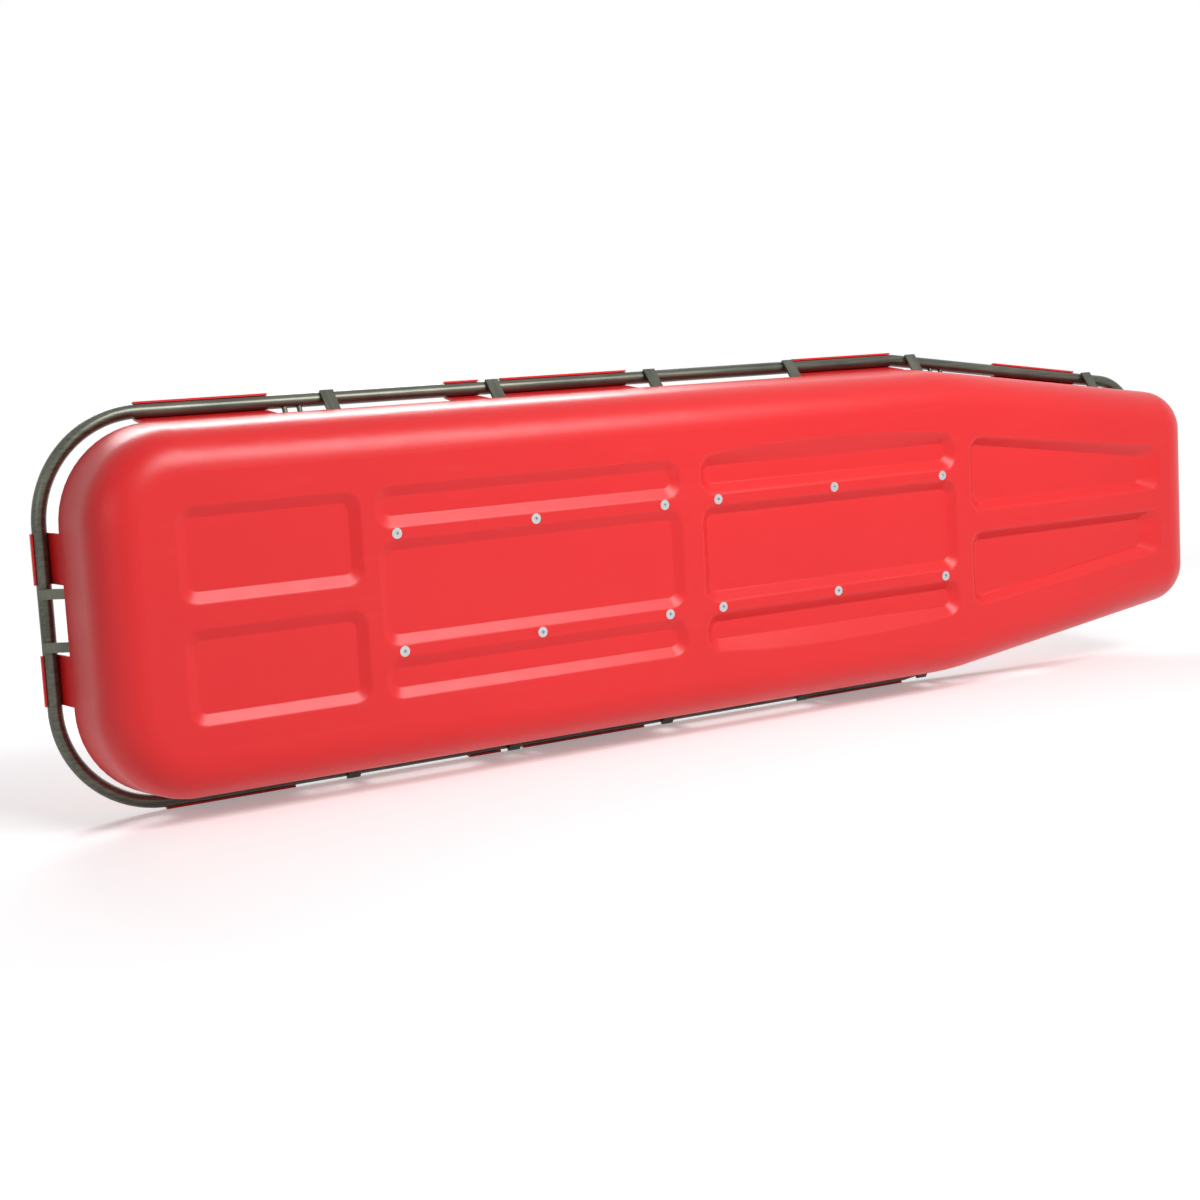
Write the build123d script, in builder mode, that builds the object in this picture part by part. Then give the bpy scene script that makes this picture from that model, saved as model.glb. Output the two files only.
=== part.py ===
from build123d import *
import os
from math import asin, atan, atan2, cos, hypot, radians, sin, tan

os.makedirs("parts", exist_ok=True)

# Rescue stretcher, basket type: a moulded plastic shell hung in a frame of stainless tube.
# Millimetres. +Z up, the opening of the basket on top, the head end at -X, the foot end at +X.
# Z = 0 is the plane of the bottom ribs that the stretcher slides and rests on.

# Overall sizes, measured over the tabs of the shell
overall_length = 2184.0
overall_width = 598.6

# Rail: one loop of round tube, welded from bent and straight lengths
tube_diameter = 21.34
tube_bore = 18.04
rail_height = 175.5
head_bend = 156.0
foot_bend = 95.0
shoulder_bend = 70.0
taper_length = 597.6
taper_angle = 7.33

# Shell: a tub of even wall, drawn thinner where it is hooked over the rail
wall = 5.0
hook_wall = 3.0
fit = 0.3
wall_to_tube = 5.0
draft_angle = 4.0
bottom_radius = 64.0
shoulder_blend = 600.0

# Hand holes: the wall is cut down to this height between the tabs that hook over the rail.
# The tabs of the head are placed from the head end of the rail, those of the foot from its foot end.
notch_height = 136.0
notch_corner = 14.0
hook_drop = 3.0
head_tab = (152.0, 357.0)
middle_tab = (-420.0, -363.0)
long_tab = (-321.0, -86.0)
shoulder_tab = (602.3, 818.3)
foot_tab = (152.5, 352.0)
end_tab = (50.7, 123.5)

# Bottom: panels and channels pressed inwards, which leave lands and ribs between them
head_panel_offset = 136.3
head_land_offset = 427.7
head_land_width = 23.5
middle_land_x = -84.6
middle_land_width = 38.6
shoulder_land_offset = 590.8
shoulder_land_width = 32.1
foot_panel_offset = 109.4
head_depth = 8.8
middle_depth = 13.5
foot_depth = 15.5
runner_y = 87.1
runner_crest = 17.2
slope_run = 16.6
channel_outer_y = 157.3
channel_bow = 14.5
centre_land = 35.3
head_panel_outer_y = 154.3
foot_panel_outer_y = (150.0, 98.9)
foot_panel_slope = 43.0
lip_corner = 24.5
floor_corner = 12.0
lip_round = 9.0
floor_round = 4.0

# Frame ribs: flat bar, bent to run down inside the shell and across the bed
head_rib_offset = 451.2
middle_rib_x = -342.0
bed_rib_x = -44.0
hip_rib_offset = 835.2
shoulder_rib_offset = 562.2
foot_rib_offset = 128.4
rib_width = 22.0
rib_thickness = 4.0
end_bar_y = 38.0
end_bar_width = 14.5
bar_overhang = 5.0

# Stiffener bars inside the bottom ribs, and the screws that hold them
bar_width = 20.0
bar_end_margin = 22.0
screw_end_margin = 32.3
screw_diameter = 8.0
screw_head = 16.0
socket_width = 5.0
socket_depth = 3.0
hole_clearance = 0.2

# Lifting eyes: loops of round rod welded under the rail, inside the hand holes
head_eye_offset = 394.5
foot_eye_offset = 498.2
eye_rod = 8.0
eye_span = 24.0
eye_reach = 30.0
eye_fall = 25.0

# What follows from the sizes above
tube_radius = tube_diameter / 2
hook_inner = tube_radius + fit
hook_outer = hook_inner + hook_wall
rail_end_x = overall_length / 2 - hook_outer
rail_y = overall_width / 2 - hook_outer
shoulder_x = rail_end_x - taper_length
taper_slope = tan(radians(taper_angle))
foot_y = rail_y - taper_length * taper_slope
draft_slope = tan(radians(draft_angle))
wall_across = wall / cos(radians(draft_angle))
wall_inset = tube_radius + wall_to_tube
bottom_inset = wall_inset + notch_height * draft_slope
cavity_inset = wall_inset + wall_across + (notch_height - wall) * draft_slope
rail_plane = Plane.XY.offset(rail_height)
half_rib = rib_thickness / 2
cut_clearance = 2 * hook_outer


def from_head(distance):
    """Station along the stretcher, measured from the head end of the rail."""
    return distance - rail_end_x


def from_foot(distance):
    """Station along the stretcher, measured from the foot end of the rail."""
    return rail_end_x - distance


side_tabs = [
    (from_head(head_tab[0]), from_head(head_tab[1])),
    middle_tab,
    long_tab,
    (from_foot(shoulder_tab[1]), from_foot(shoulder_tab[0])),
    (from_foot(foot_tab[1]), from_foot(foot_tab[0])),
]
rib_stations = [
    from_head(head_rib_offset),
    middle_rib_x,
    bed_rib_x,
    from_foot(hip_rib_offset),
    from_foot(shoulder_rib_offset),
    from_foot(foot_rib_offset),
]
eye_stations = [from_head(head_eye_offset), from_foot(foot_eye_offset)]


def loop_corners(inset):
    """Corners of the plan outline on the +Y side, set in from the centre line of the rail."""
    slant = radians(taper_angle)
    end_x = rail_end_x - inset
    kink_x = shoulder_x - inset * tan(slant / 2)
    side_y = rail_y - inset
    end_y = side_y - (end_x - kink_x) * taper_slope
    return end_x, kink_x, side_y, end_y


def plan_outline(inset):
    """Closed plan outline of the shell, set in from the centre line of the rail."""
    end_x, kink_x, side_y, end_y = loop_corners(inset)
    head, foot = head_bend - inset, foot_bend - inset
    FilletPolyline(
        (-end_x, -side_y),
        (kink_x, -side_y),
        (end_x, -end_y),
        (end_x, end_y),
        (kink_x, side_y),
        (-end_x, side_y),
        radius=[head, shoulder_blend, foot, foot, shoulder_blend, head],
        close=True,
    )


def rail_y_at(x):
    """Half width of the rail at a station along the stretcher."""
    return rail_y - max(0.0, x - shoulder_x) * taper_slope


# Rail

seam_head_x = -rail_end_x + head_bend
seam_shoulder_x = shoulder_x - 2 * shoulder_bend * tan(radians(taper_angle / 2))
foot_tangent = foot_bend * tan(radians(45 - taper_angle / 2))
seam_foot_x = rail_end_x - foot_tangent * cos(radians(taper_angle)) - 4.0


def tube_section(route):
    """Ring section of the tube, square to the start of its route."""
    with BuildSketch(Plane(origin=route @ 0, z_dir=route % 0)) as ring:
        Circle(tube_radius)
        Circle(tube_bore / 2, mode=Mode.SUBTRACT)
    return ring.sketch


with BuildPart() as rail_head:
    with BuildLine(rail_plane) as path:
        FilletPolyline(
            (seam_head_x + 1, -rail_y),
            (-rail_end_x, -rail_y),
            (-rail_end_x, rail_y),
            (seam_head_x + 1, rail_y),
            radius=head_bend,
        )
    sweep(sections=tube_section(path.wires()[0]))
rail_head.part.label = "rail_head"
export_step(rail_head.part, "parts/rail_head.step")

with BuildPart() as rail_foot:
    with BuildLine(rail_plane) as path:
        FilletPolyline(
            (seam_foot_x, rail_y_at(seam_foot_x)),
            (rail_end_x, foot_y),
            (rail_end_x, -foot_y),
            (seam_foot_x, -rail_y_at(seam_foot_x)),
            radius=foot_bend,
        )
    sweep(sections=tube_section(path.wires()[0]))
rail_foot.part.label = "rail_foot"
export_step(rail_foot.part, "parts/rail_foot.step")

for side, hand in ((-1, "left"), (1, "right")):
    with BuildPart() as rail_side:
        with BuildLine(rail_plane) as path:
            Line((seam_head_x + 1, side * rail_y), (seam_shoulder_x, side * rail_y))
        sweep(sections=tube_section(path.wires()[0]))
    rail_side.part.label = f"rail_side_{hand}"
    export_step(rail_side.part, f"parts/rail_side_{hand}.step")

    with BuildPart() as rail_taper:
        with BuildLine(rail_plane) as path:
            FilletPolyline(
                (seam_shoulder_x, side * rail_y),
                (shoulder_x, side * rail_y),
                (seam_foot_x, side * rail_y_at(seam_foot_x)),
                radius=shoulder_bend,
            )
        sweep(sections=tube_section(path.wires()[0]))
    rail_taper.part.label = f"rail_taper_{hand}"
    export_step(rail_taper.part, f"parts/rail_taper_{hand}.step")


# Shell

head_land_x = from_head(head_land_offset)
shoulder_land_x = from_foot(shoulder_land_offset)
head_start, head_stop = from_head(head_panel_offset), head_land_x - head_land_width / 2
second_start, second_stop = head_land_x + head_land_width / 2, middle_land_x - middle_land_width / 2
third_start, third_stop = middle_land_x + middle_land_width / 2, shoulder_land_x - shoulder_land_width / 2
foot_start, foot_stop = shoulder_land_x + shoulder_land_width / 2, from_foot(foot_panel_offset)
crest_in, crest_out = runner_y - runner_crest / 2, runner_y + runner_crest / 2


def recess(depth, start, stop, inner, outer, bow=0.0, stop_run=slope_run, mirrored=True):
    """One pressed-in panel: depth, ends, inner and outer edge (each at start and stop), slope at its stop end."""
    return {
        "depth": depth,
        "lip": (start, stop, inner, inner, outer[0], outer[1], bow),
        "floor": (
            start + slope_run,
            stop - stop_run,
            inner + slope_run,
            inner + slope_run,
            outer[0] - slope_run,
            outer[1] - slope_run,
            0.0,
        ),
        "mirrored": mirrored,
    }


def centre_recess(depth, start, stop):
    panel = recess(depth, start, stop, -crest_in, (crest_in, crest_in), mirrored=False)
    return panel


recesses = [
    recess(head_depth, head_start, head_stop, centre_land / 2, (head_panel_outer_y, head_panel_outer_y)),
    centre_recess(head_depth, second_start, second_stop),
    recess(head_depth, second_start, second_stop, crest_out, (channel_outer_y, channel_outer_y)),
    centre_recess(middle_depth, third_start, third_stop),
    recess(middle_depth, third_start, third_stop, crest_out, (channel_outer_y, channel_outer_y), bow=channel_bow),
    recess(foot_depth, foot_start, foot_stop, centre_land / 2, foot_panel_outer_y, stop_run=foot_panel_slope),
]


def recess_outline(shape, height, side, corner, grow):
    """Outline of a recess at one height: four sides with rounded corners, the outer one bowed where asked."""
    start, stop, inner_start, inner_stop, outer_start, outer_stop, bow = shape
    with BuildSketch(Plane.XY.offset(height)) as outline:
        with BuildLine():
            Line((start, side * inner_start), (stop, side * inner_stop))
            Line((stop, side * inner_stop), (stop, side * outer_stop))
            if bow > 0:
                middle = ((start + stop) / 2, side * ((outer_start + outer_stop) / 2 + bow))
                ThreePointArc((stop, side * outer_stop), middle, (start, side * outer_start))
            else:
                Line((stop, side * outer_stop), (start, side * outer_start))
            Line((start, side * outer_start), (start, side * inner_start))
        make_face()
        fillet(outline.vertices(), corner)
        if grow > 0:
            offset(amount=grow)
    return outline.sketch


def recess_body(panel, side, base, grow, mode):
    """The tapered block between the lip and the floor of a recess, from a base height up."""
    lip = recess_outline(panel["lip"], base, side, lip_corner, grow)
    floor = recess_outline(panel["floor"], base + panel["depth"], side, floor_corner, grow)
    loft(sections=[lip, floor], ruled=True, mode=mode)


def sides_of(panel):
    return (-1, 1) if panel["mirrored"] else (1,)


def edges_at(part, heights):
    """Edges of the flat floors of the recesses, which lie level at one of these heights."""
    found = ShapeList()
    for height in heights:
        for face in part.faces().filter_by(Axis.Z).filter_by_position(Axis.Z, height - 0.01, height + 0.01):
            found += face.outer_wire().edges()
    return found


depths = [head_depth, middle_depth, foot_depth]


with BuildPart() as cavity:
    with BuildSketch(Plane.XY.offset(wall)):
        with BuildLine():
            plan_outline(cavity_inset)
        make_face()
    extrude(amount=notch_height - wall, taper=-draft_angle)
    fillet(cavity.faces().sort_by(Axis.Z)[0].edges(), bottom_radius - wall)
    for panel in recesses:
        skin = wall * tan(atan(panel["depth"] / slope_run) / 2)
        for side in sides_of(panel):
            recess_body(panel, side, wall, skin, Mode.SUBTRACT)
    fillet(edges_at(cavity, [wall + depth for depth in depths]), floor_round + wall)
    fillet(cavity.faces().sort_by(Axis.Z)[0].inner_wires().edges(), lip_round - wall)

# The band that becomes the tabs: the wall carries on from the hand holes, over the tube and down outside it
with BuildPart() as band:
    with BuildLine(rail_plane) as route:
        FilletPolyline(
            (-rail_end_x, 0),
            (-rail_end_x, rail_y),
            (shoulder_x, rail_y),
            (rail_end_x, foot_y),
            (rail_end_x, 0),
            radius=[head_bend, shoulder_bend, foot_bend],
        )
    start = route.wires()[0]
    below = notch_height - rail_height
    with BuildSketch(Plane(origin=start @ 0, x_dir=(-1, 0, 0), z_dir=start % 0)):
        with BuildLine():
            Polyline(
                (-hook_inner, 0),
                (-wall_inset, below),
                (-wall_inset - wall_across, below),
                (-hook_outer, 0),
            )
            ThreePointArc((-hook_outer, 0), (0, hook_outer), (hook_outer, 0))
            Polyline((hook_outer, 0), (hook_outer, -hook_drop), (hook_inner, -hook_drop), (hook_inner, 0))
            ThreePointArc((hook_inner, 0), (0, hook_inner), (-hook_inner, 0))
        make_face()
    sweep()
    mirror(about=Plane.XZ)

with BuildPart() as hand_holes:
    with BuildSketch(Plane.XY.offset(notch_height)):
        edge = overall_width / 2 + cut_clearance
        inner = foot_y - wall_inset - wall_across - cut_clearance
        for (_, stop), (start, _) in zip(side_tabs, side_tabs[1:]):
            for side in (-1, 1):
                with Locations(((stop + start) / 2, side * (edge + inner) / 2)):
                    Rectangle(start - stop, edge - inner)
        for end in (-1, 1):
            with Locations((end * rail_end_x, 0)):
                Rectangle(2 * (wall_inset + wall_across + cut_clearance), 2 * end_tab[0])
        for side in (-1, 1):
            for end, near in ((-1, -side_tabs[0][0]), (1, side_tabs[-1][1])):
                far = overall_length / 2 + cut_clearance
                with Locations((end * (near + far) / 2, side * (end_tab[1] + edge) / 2)):
                    Rectangle(far - near, edge - end_tab[1])
    extrude(amount=rail_height + 2 * hook_outer - notch_height)
    fillet(hand_holes.faces().sort_by(Axis.Z)[0].edges(), notch_corner)

bar_columns = [
    ("head", second_start, second_stop, head_depth),
    ("foot", third_start, third_stop, middle_depth),
]


def screws_along(start, stop):
    """Stations of the three screws in a bottom rib between two lands."""
    first, last = start + screw_end_margin, stop - screw_end_margin
    return [first, (first + last) / 2, last]


screw_spots = [(x, side * runner_y)
               for _, start, stop, _ in bar_columns
               for x in screws_along(start, stop)
               for side in (-1, 1)]

with BuildPart() as shell:
    with BuildSketch():
        with BuildLine():
            plan_outline(bottom_inset)
        make_face()
    extrude(amount=notch_height, taper=-draft_angle)
    fillet(shell.faces().sort_by(Axis.Z)[0].edges(), bottom_radius)
    for panel in recesses:
        for side in sides_of(panel):
            recess_body(panel, side, 0, 0, Mode.SUBTRACT)
    fillet(edges_at(shell, depths), floor_round)
    fillet(shell.faces().sort_by(Axis.Z)[0].inner_wires().edges(), lip_round)
    add(cavity.part, mode=Mode.SUBTRACT)
    add(band.part)
    add(hand_holes.part, mode=Mode.SUBTRACT)
    with Locations([Location((x, y, 0), (180, 0, 0)) for x, y in screw_spots]):
        CounterSinkHole(
            radius=screw_diameter / 2 + hole_clearance,
            counter_sink_radius=screw_head / 2 + hole_clearance,
            depth=2 * wall,
        )
shell.part.label = "shell"
export_step(shell.part, "parts/shell.step")


# Frame ribs

def inner_wall_inset(height):
    """How far the inner face of the shell's wall is set in from the centre line of the rail."""
    return wall_inset + wall_across + (notch_height - height) * draft_slope


def inner_wall_y(x, height):
    """Half width inside the shell at a station and a height."""
    _, kink_x, side_y, _ = loop_corners(inner_wall_inset(height))
    return side_y - max(0.0, x - kink_x) * taper_slope


def depth_at(x):
    """Depth of the recesses at a station: a bar across the bed rests on their tops."""
    if x < middle_land_x:
        return head_depth
    return middle_depth if x < shoulder_land_x else foot_depth


def bed_height(x):
    return wall + depth_at(x) + fit + half_rib


def hanger(tube_out, wall_out, bed, slack=0.0):
    """Corners of a bar that hangs from the tube: its free end, the bend at the top of the wall and the bend at the bed.

    tube_out is how far the tube is from the middle of the bed, wall_out how far the inner wall is at a height,
    and slack is what the slant of the tube takes across the width of the bar.
    """
    top = notch_height + rib_thickness
    top_out = wall_out(top) - fit - half_rib
    away, up = tube_out - top_out, rail_height - top
    reach = hypot(away, up)
    clear = tube_radius + half_rib + fit + slack
    heading = atan2(up, away) - asin(clear / reach)
    length = (reach**2 - clear**2) ** 0.5 + bar_overhang
    return (
        (top_out + length * cos(heading), top + length * sin(heading)),
        (top_out, top),
        (wall_out(bed) - fit - half_rib, bed),
    )


rib_bend = 0.8 * (bottom_radius - wall)
top_bend = 2 * rib_thickness

for number, station in enumerate(rib_stations, start=1):
    end, high, low = hanger(
        rail_y_at(station),
        lambda height, x=station + rib_width / 2: inner_wall_y(x, height),
        bed_height(station),
        slack=0.0 if station < shoulder_x else rib_width / 2 * taper_slope,
    )
    with BuildPart() as frame_rib:
        with BuildLine(Plane.YZ.offset(station)) as path:
            FilletPolyline(
                end,
                high,
                low,
                (-low[0], low[1]),
                (-high[0], high[1]),
                (-end[0], end[1]),
                radius=[top_bend, rib_bend, rib_bend, top_bend],
            )
        start = path.wires()[0]
        with BuildSketch(Plane(origin=start @ 0, x_dir=(1, 0, 0), z_dir=start % 0)):
            Rectangle(rib_width, rib_thickness)
        sweep()
    frame_rib.part.label = f"frame_rib_{number}"
    export_step(frame_rib.part, f"parts/frame_rib_{number}.step")

for name, end_sign, first_rib in (("head", -1, rib_stations[0]), ("foot", 1, rib_stations[-1])):
    end, high, low = hanger(
        rail_end_x,
        lambda height: rail_end_x - inner_wall_inset(height),
        bed_height(first_rib),
    )
    landing = first_rib + end_sign * (rib_width / 2 + fit)
    for side, hand in ((-1, "left"), (1, "right")):
        with BuildPart() as end_bar:
            with BuildLine(Plane(origin=(0, side * end_bar_y, 0), x_dir=(1, 0, 0), z_dir=(0, -1, 0))) as path:
                FilletPolyline(
                    (end_sign * end[0], end[1]),
                    (end_sign * high[0], high[1]),
                    (end_sign * low[0], low[1]),
                    (landing, low[1]),
                    radius=[top_bend, rib_bend],
                )
            start = path.wires()[0]
            with BuildSketch(Plane(origin=start @ 0, x_dir=(0, 1, 0), z_dir=start % 0)):
                Rectangle(end_bar_width, rib_thickness)
            sweep()
        end_bar.part.label = f"{name}_bar_{hand}"
        export_step(end_bar.part, f"parts/{name}_bar_{hand}.step")


# Stiffener bars and screws

with BuildPart() as screw:
    with BuildSketch(Plane.XZ):
        with BuildLine():
            Polyline(
                (0, 0),
                (screw_head / 2, 0),
                (screw_diameter / 2, (screw_head - screw_diameter) / 2),
                (screw_diameter / 2, wall + head_depth - 0.5),
                (0, wall + head_depth - 0.5),
                close=True,
            )
        make_face()
    revolve(axis=Axis.Z)
    with BuildSketch(Plane.XY):
        RegularPolygon(radius=socket_width / 2, side_count=6, major_radius=False)
    extrude(amount=socket_depth, mode=Mode.SUBTRACT)

for column, start, stop, depth in bar_columns:
    spots = screws_along(start, stop)
    slope = atan(depth / slope_run)
    groove = runner_crest / 2 - wall * tan(slope / 2) - fit / sin(slope)
    for side, hand in ((-1, "left"), (1, "right")):
        with BuildPart() as bar:
            with BuildSketch(Plane.YZ.offset(spots[1])):
                with BuildLine():
                    Polyline(
                        (side * runner_y - groove - fit * slope_run / depth, wall + fit),
                        (side * runner_y - bar_width / 2, wall + (bar_width / 2 - groove) * depth / slope_run),
                        (side * runner_y - bar_width / 2, wall + depth),
                        (side * runner_y + bar_width / 2, wall + depth),
                        (side * runner_y + bar_width / 2, wall + (bar_width / 2 - groove) * depth / slope_run),
                        (side * runner_y + groove + fit * slope_run / depth, wall + fit),
                        close=True,
                    )
                make_face()
            extrude(amount=spots[2] - spots[1] + bar_end_margin, both=True)
            with Locations([(x, side * runner_y, wall + depth) for x in spots]):
                Hole(screw_diameter / 2 + hole_clearance)
        bar.part.label = f"stiffener_{column}_{hand}"
        export_step(bar.part, f"parts/stiffener_{column}_{hand}.step")

        with BuildPart() as screws:
            with Locations([(x, side * runner_y, 0) for x in spots]):
                add(screw.part)
        screws.part.label = f"screws_{column}_{hand}"
        export_step(screws.part, f"parts/screws_{column}_{hand}.step")


# Lifting eyes

for name, station in zip(("head", "foot"), eye_stations):
    for side, hand in ((-1, "left"), (1, "right")):
        turn = radians(0 if station < shoulder_x else -side * taper_angle)
        fall = radians(eye_fall)
        along = Vector(cos(turn), sin(turn), 0)
        inward = Vector(side * sin(turn), -side * cos(turn), 0)
        outreach = inward * cos(fall) + Vector(0, 0, -sin(fall))
        seat = (station, side * rail_y_at(station), rail_height)
        bend = tube_radius + eye_reach - eye_span / 2
        with BuildPart() as eye:
            with BuildLine(Plane(origin=seat, x_dir=along, z_dir=along.cross(outreach))) as path:
                Line((-eye_span / 2, 0), (-eye_span / 2, bend))
                RadiusArc((-eye_span / 2, bend), (eye_span / 2, bend), eye_span / 2)
                Line((eye_span / 2, bend), (eye_span / 2, 0))
            start = path.wires()[0]
            with BuildSketch(Plane(origin=start @ 0, z_dir=start % 0)):
                Circle(eye_rod / 2)
            sweep()
            with Locations(Plane(origin=seat, z_dir=along)):
                Cylinder(tube_radius + fit, 2 * (eye_span + eye_rod), mode=Mode.SUBTRACT)
        eye.part.label = f"lifting_eye_{name}_{hand}"
        export_step(eye.part, f"parts/lifting_eye_{name}_{hand}.step")
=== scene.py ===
from math import radians

import bpy
from mathutils import Matrix, Vector


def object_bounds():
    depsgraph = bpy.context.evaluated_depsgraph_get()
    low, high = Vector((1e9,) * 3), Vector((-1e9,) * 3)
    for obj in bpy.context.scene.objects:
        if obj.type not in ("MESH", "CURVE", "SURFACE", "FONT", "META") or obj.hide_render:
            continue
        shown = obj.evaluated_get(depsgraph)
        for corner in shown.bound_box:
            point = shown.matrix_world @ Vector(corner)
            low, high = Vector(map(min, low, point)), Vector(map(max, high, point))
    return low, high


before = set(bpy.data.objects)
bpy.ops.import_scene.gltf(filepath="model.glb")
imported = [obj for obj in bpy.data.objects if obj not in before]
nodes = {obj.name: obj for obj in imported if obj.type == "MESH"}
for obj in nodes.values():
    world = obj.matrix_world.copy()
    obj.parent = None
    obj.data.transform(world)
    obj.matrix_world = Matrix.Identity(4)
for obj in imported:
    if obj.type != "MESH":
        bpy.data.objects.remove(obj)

cad_box = [list(corner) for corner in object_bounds()]
bpy.ops.object.select_all(action="DESELECT")


# Camera
# The stretcher lies on its right side, so the photograph's up is -Y, and the camera looks at the bottom
# from the head end. The lens is a short portrait lens, about 62 mm on a 36 mm sensor.

photo_width = 1200
focal_pixels = 2059.7
eye = Vector((-1.9264, -0.3484, -2.7039))
target = Vector((-0.2660, 0.0496, 0.0))
photo_up = Vector((0.1123, -0.9907, 0.0769))

forward = (target - eye).normalized()
right = forward.cross(photo_up).normalized()
upward = right.cross(forward)
bpy.ops.object.camera_add(location=eye)
camera = bpy.context.object
camera.matrix_world = Matrix((
    (right.x, upward.x, -forward.x, eye.x),
    (right.y, upward.y, -forward.y, eye.y),
    (right.z, upward.z, -forward.z, eye.z),
    (0, 0, 0, 1),
))
camera.data.sensor_width = 36
camera.data.lens = 36 * focal_pixels / photo_width
camera.data.clip_end = 60
bpy.context.scene.camera = camera


# Studio
# A white floor that the stretcher's right side lies on, seen from its upper side only, which fades into a white room.
# A wide soft box hangs above and before the stretcher, a weak one is past the head end, and two fill the far side.

class Signal:
    """A socket of a shader, wrapped so that sums on it add their own nodes."""

    def __init__(self, tree, socket):
        self.tree = tree
        self.socket = socket

    def node(self, kind, settings, inputs, output=0):
        """Any node: its type, its settings, and the values or links of its sockets."""
        made = self.tree.nodes.new(kind)
        for name, value in settings.items():
            setattr(made, name, value)
        for name, value in inputs.items():
            if isinstance(value, Signal):
                self.tree.links.new(value.socket, made.inputs[name])
            else:
                made.inputs[name].default_value = value
        return Signal(self.tree, made.outputs[output])

    def maths(self, operation, first, second):
        return self.node("ShaderNodeMath", {"operation": operation}, {0: first, 1: second})

    def __add__(self, other):
        return self.maths("ADD", self, other)

    def __radd__(self, other):
        return self.maths("ADD", other, self)

    def __rsub__(self, other):
        return self.maths("SUBTRACT", other, self)

    def __mul__(self, other):
        return self.maths("MULTIPLY", self, other)

    def __rmul__(self, other):
        return self.maths("MULTIPLY", other, self)

    def above(self, edge, soft):
        """1 where the signal is past the edge, 0 before it, with a soft step between."""
        settings = {"interpolation_type": "SMOOTHSTEP"}
        return self.node("ShaderNodeMapRange", settings, {0: self, 1: edge - soft, 2: edge + soft})

    def noise(self, scale, detail=3.0, rough=0.5, stretch=(1, 1, 1)):
        """Noise in the place that this vector signal gives, drawn out along an axis where asked."""
        placed = self.node("ShaderNodeVectorMath", {"operation": "MULTIPLY"}, {0: self, 1: stretch})
        inputs = {"Vector": placed, "Scale": scale, "Detail": detail, "Roughness": rough}
        return self.node("ShaderNodeTexNoise", {"normalize": True}, inputs)

    def blend(self, first, second):
        """A colour between two, by this signal."""
        return self.node("ShaderNodeMix", {"data_type": "RGBA"}, {0: self, 6: first, 7: second}, output=2)

    def part(self, axis):
        """One number of a vector signal."""
        return self.node("ShaderNodeSeparateXYZ", {}, {0: self}, output="XYZ".index(axis))


def finish_of(name, base, roughness, metallic=0.0):
    """A new material with its shader, the place on the object in metres, and a way to link to the shader."""
    made = bpy.data.materials.new(name)
    made.use_nodes = True
    made.diffuse_color = base
    tree = made.node_tree
    shader = tree.nodes["Principled BSDF"]
    shader.inputs["Base Color"].default_value = base
    shader.inputs["Roughness"].default_value = roughness
    shader.inputs["Metallic"].default_value = metallic
    place = Signal(tree, tree.nodes.new("ShaderNodeTexCoord").outputs["Object"])

    def feed(socket, signal):
        tree.links.new(signal.socket, shader.inputs[socket])

    def bump(height, distance, strength=1.0):
        inputs = {"Height": height, "Distance": distance, "Strength": strength}
        feed("Normal", place.node("ShaderNodeBump", {}, inputs))

    return made, place, feed, bump


white_room = bpy.data.worlds.new("white_room")
bpy.context.scene.world = white_room
white_room.use_nodes = True
room = white_room.node_tree
room.nodes.clear()
room_out = room.nodes.new("ShaderNodeOutputWorld")
rays = room.nodes.new("ShaderNodeLightPath")
seen = Signal(room, rays.outputs["Is Camera Ray"]) + Signal(room, rays.outputs["Is Glossy Ray"])
seen = seen + Signal(room, rays.outputs["Is Transmission Ray"])
room_light = 0.22
brightness = seen.above(0.5, 0.1) * (1 - room_light) + room_light
white = seen.node("ShaderNodeBackground", {}, {"Color": (1, 1, 1, 1), "Strength": brightness})
room.links.new(white.socket, room_out.inputs["Surface"])

floor_width, floor_depth, floor_middle_z = 16, 10, 0.6
floor_gap = 0.0005
floor_glow = 0.30
floor_y = cad_box[1][1] + floor_gap
bpy.ops.mesh.primitive_plane_add(size=1, location=(0, floor_y, floor_middle_z), rotation=(radians(90), 0, 0))
floor = bpy.context.object
floor.name = "floor"
floor.scale = (floor_width, floor_depth, 1)
bpy.ops.object.transform_apply(location=True, rotation=True, scale=True)
paper, place, feed, bump = finish_of("white_paper", (0.86, 0.86, 0.87, 1), 0.9)
tree = paper.node_tree
shader = tree.nodes["Principled BSDF"]
shader.inputs["Specular IOR Level"].default_value = 0.1
rays = tree.nodes.new("ShaderNodeLightPath")
seen = Signal(tree, rays.outputs["Is Camera Ray"]) + Signal(tree, rays.outputs["Is Glossy Ray"])
shader.inputs["Emission Color"].default_value = (1, 1, 1, 1)
feed("Emission Strength", seen.above(0.5, 0.1) * floor_glow)
back = Signal(tree, tree.nodes.new("ShaderNodeNewGeometry").outputs["Backfacing"])
clear = back.node("ShaderNodeBsdfTransparent", {}, {})
lit = Signal(tree, shader.outputs[0])
far = (place.part("X") * place.part("X") + place.part("Z") * place.part("Z")).above(5.0, 3.5)
hidden = back.maths("MAXIMUM", back, far)
faded = back.node("ShaderNodeMixShader", {}, {0: hidden, 1: lit, 2: clear})
tree.links.new(faded.socket, tree.nodes["Material Output"].inputs["Surface"])
floor.data.materials.append(paper)


def soft_box(name, place, aim, width, height, power):
    """A rectangular area lamp at a place, turned to a point."""
    bpy.ops.object.light_add(type="AREA", location=place)
    lamp = bpy.context.object
    lamp.name = name
    lamp.data.shape = "RECTANGLE"
    lamp.data.size = width
    lamp.data.size_y = height
    lamp.data.energy = power
    lamp.rotation_euler = (Vector(aim) - Vector(place)).to_track_quat("-Z", "Y").to_euler()


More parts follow.
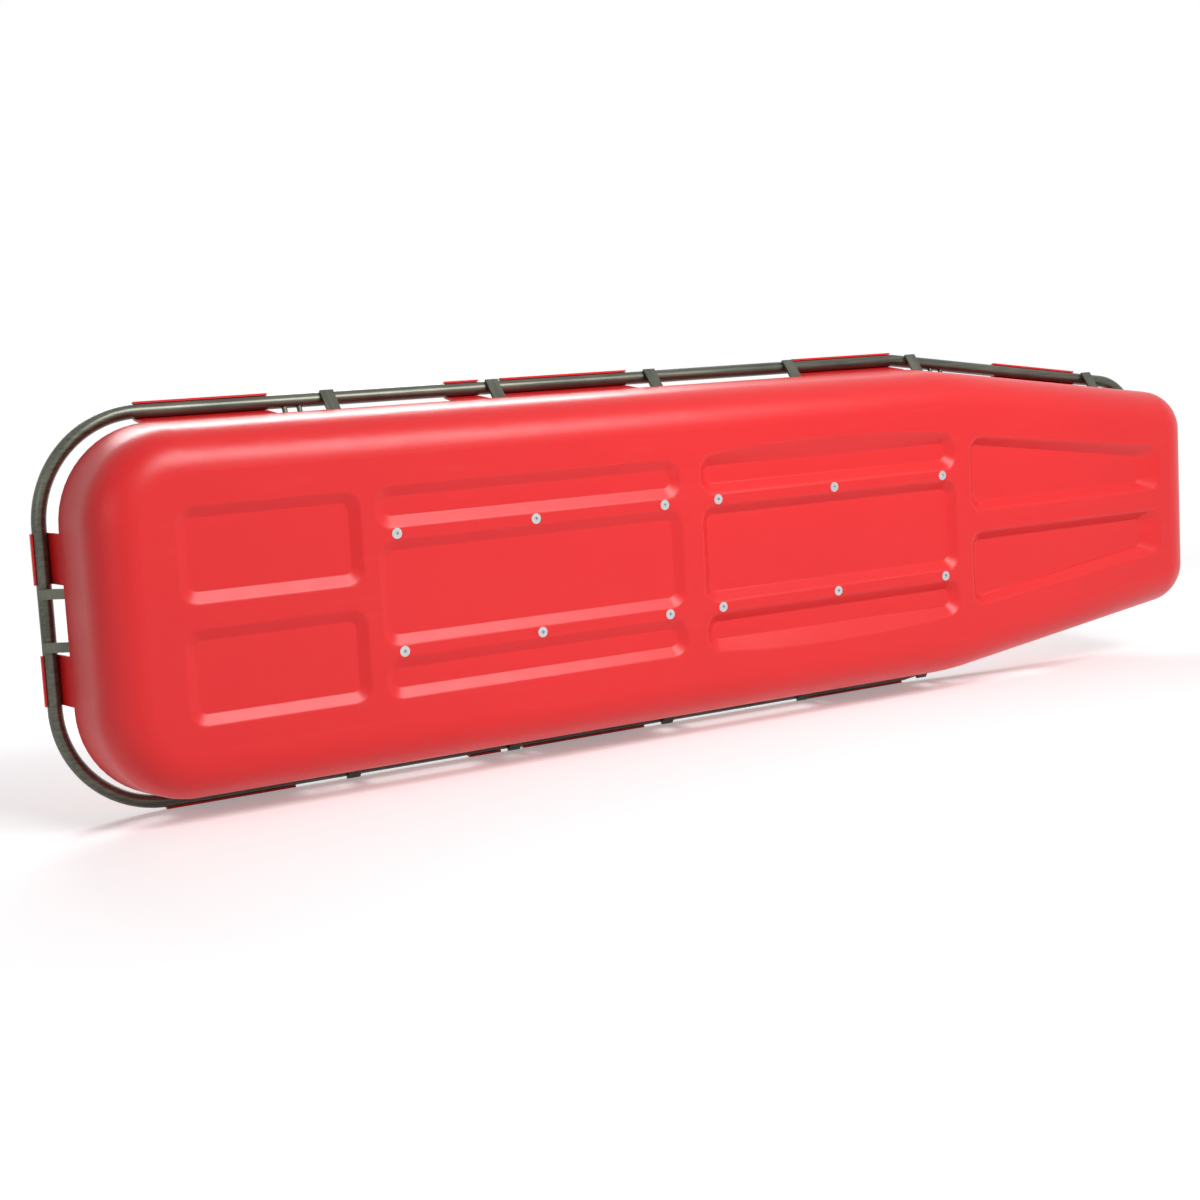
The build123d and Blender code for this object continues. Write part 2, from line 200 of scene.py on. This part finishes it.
soft_box("over_box", (0.3, -1.9, -2.2), (0.0, 0.0, 0.05), 2.4, 1.2, 82)
soft_box("head_box", (-3.2, -0.7, -1.5), (-0.6, 0.0, 0.05), 1.2, 1.8, 6)
soft_box("bed_box", (0.3, -1.6, 2.4), (0.0, 0.0, 0.1), 2.4, 1.2, 60)
soft_box("low_box", (0.6, 1.6, 2.2), (0.0, 0.0, 0.1), 2.0, 1.2, 20)


# Shell
# One tub of polyethylene, pressed from a heated sheet, with panels pushed up between the ribs of its bottom.
# The sheet is dyed right through, comes out of the mould satin, and is faintly scuffed where it slides.

shell_red = (0.78, 0.012, 0.014, 1)
shell_deep_red = (0.68, 0.009, 0.012, 1)
scuffed_red = (0.70, 0.10, 0.10, 1)
plastic, place, feed, bump = finish_of("moulded_plastic", shell_red, 0.36)
cloud = place.noise(2.2, detail=2.0)
grain = place.noise(900.0, detail=2.0)
swell = place.noise(26.0, detail=1.0)
drag = place.noise(60.0, detail=6.0, rough=0.7, stretch=(0.06, 1.0, 1.0))
low = 1 - place.part("Z").above(0.004, 0.003)
scuff = low * drag.above(0.60, 0.05)
feed("Base Color", (scuff * 0.06).blend(cloud.blend(shell_deep_red, shell_red), scuffed_red))
feed("Roughness", 0.34 + 0.06 * swell + 0.04 * scuff)
bump(grain * 0.35 + swell * 0.65, 0.00022, 0.6)


def dress(starts, finish):
    """Put a finish on each CAD node whose name starts with one of these words."""
    for name, node in nodes.items():
        if name.startswith(starts):
            node.data.materials.clear()
            node.data.materials.append(finish)


dress("shell", plastic)


# Rail
# Half-inch stainless pipe in six lengths, bent and butt-welded into one loop. The drawn surface is satin, with a fine
# grain that runs along the stretcher; its base colour is painted shade, very dark to stand in for the dim
# surroundings it reflects.

steel_painted_shade = (0.060, 0.064, 0.052, 1)
rail_light = (0.15, 0.15, 0.12, 1)
tube_steel, place, feed, bump = finish_of("tube_steel", steel_painted_shade, 0.30, metallic=0.85)
streak = place.noise(240.0, detail=4.0, stretch=(0.05, 1.0, 1.0))
patch = place.noise(9.0, detail=3.0)
feed("Base Color", (streak * 0.5 + patch * 0.5).above(0.5, 0.25).blend(steel_painted_shade, rail_light))
feed("Roughness", 0.24 + 0.16 * streak)
bump(streak, 0.0001, 0.4)
dress("rail_", tube_steel)


# Frame ribs, end bars and lifting eyes
# Flat bar of rolled stainless steel, bent cold to the inside of the tub and welded under the rail,
# and round rod of the same steel for the eyes.

# The ribs share the rail's very dark base colour, painted shade for the dim surroundings that the steel reflects.
bar_steel, place, feed, bump = finish_of("bar_steel", steel_painted_shade, 0.38, metallic=0.85)
mill = place.noise(160.0, detail=4.0, stretch=(1.0, 0.08, 0.08))
stain = place.noise(14.0, detail=4.0)
feed("Base Color", (mill * 0.4 + stain * 0.6).above(0.5, 0.25).blend(steel_painted_shade, rail_light))
feed("Roughness", 0.32 + 0.18 * mill)
bump(mill, 0.00015, 0.5)
dress(("frame_rib", "head_bar", "foot_bar", "lifting_eye"), bar_steel)


# Stiffener bars
# Extruded aluminium bars that lie inside the bottom ribs, mill finished, with die lines along them.

bar_light = (0.62, 0.63, 0.64, 1)
bar_dull = (0.45, 0.46, 0.47, 1)
aluminium, place, feed, bump = finish_of("extruded_aluminium", bar_light, 0.4, metallic=1.0)
die_lines = place.noise(500.0, detail=3.0, stretch=(0.01, 1.0, 1.0))
oxide = place.noise(18.0, detail=4.0)
feed("Base Color", (die_lines * 0.5 + oxide * 0.5).above(0.5, 0.3).blend(bar_dull, bar_light))
feed("Roughness", 0.30 + 0.20 * oxide)
bump(die_lines, 0.0001, 0.5)
dress("stiffener", aluminium)


# Screws
# Countersunk socket screws of turned stainless steel, bright on the head and dark down in the socket.

screw_bright = (0.62, 0.66, 0.66, 1)
screw_dull = (0.40, 0.43, 0.43, 1)
turned_steel, place, feed, bump = finish_of("turned_steel", screw_bright, 0.3, metallic=0.9)
turning = place.noise(1200.0, detail=2.0)
feed("Base Color", turning.above(0.5, 0.3).blend(screw_dull, screw_bright))
feed("Roughness", 0.24 + 0.2 * turning)
bump(turning, 0.00008, 0.5)
dress("screws", turned_steel)


bpy.context.scene.view_settings.view_transform = "Standard"
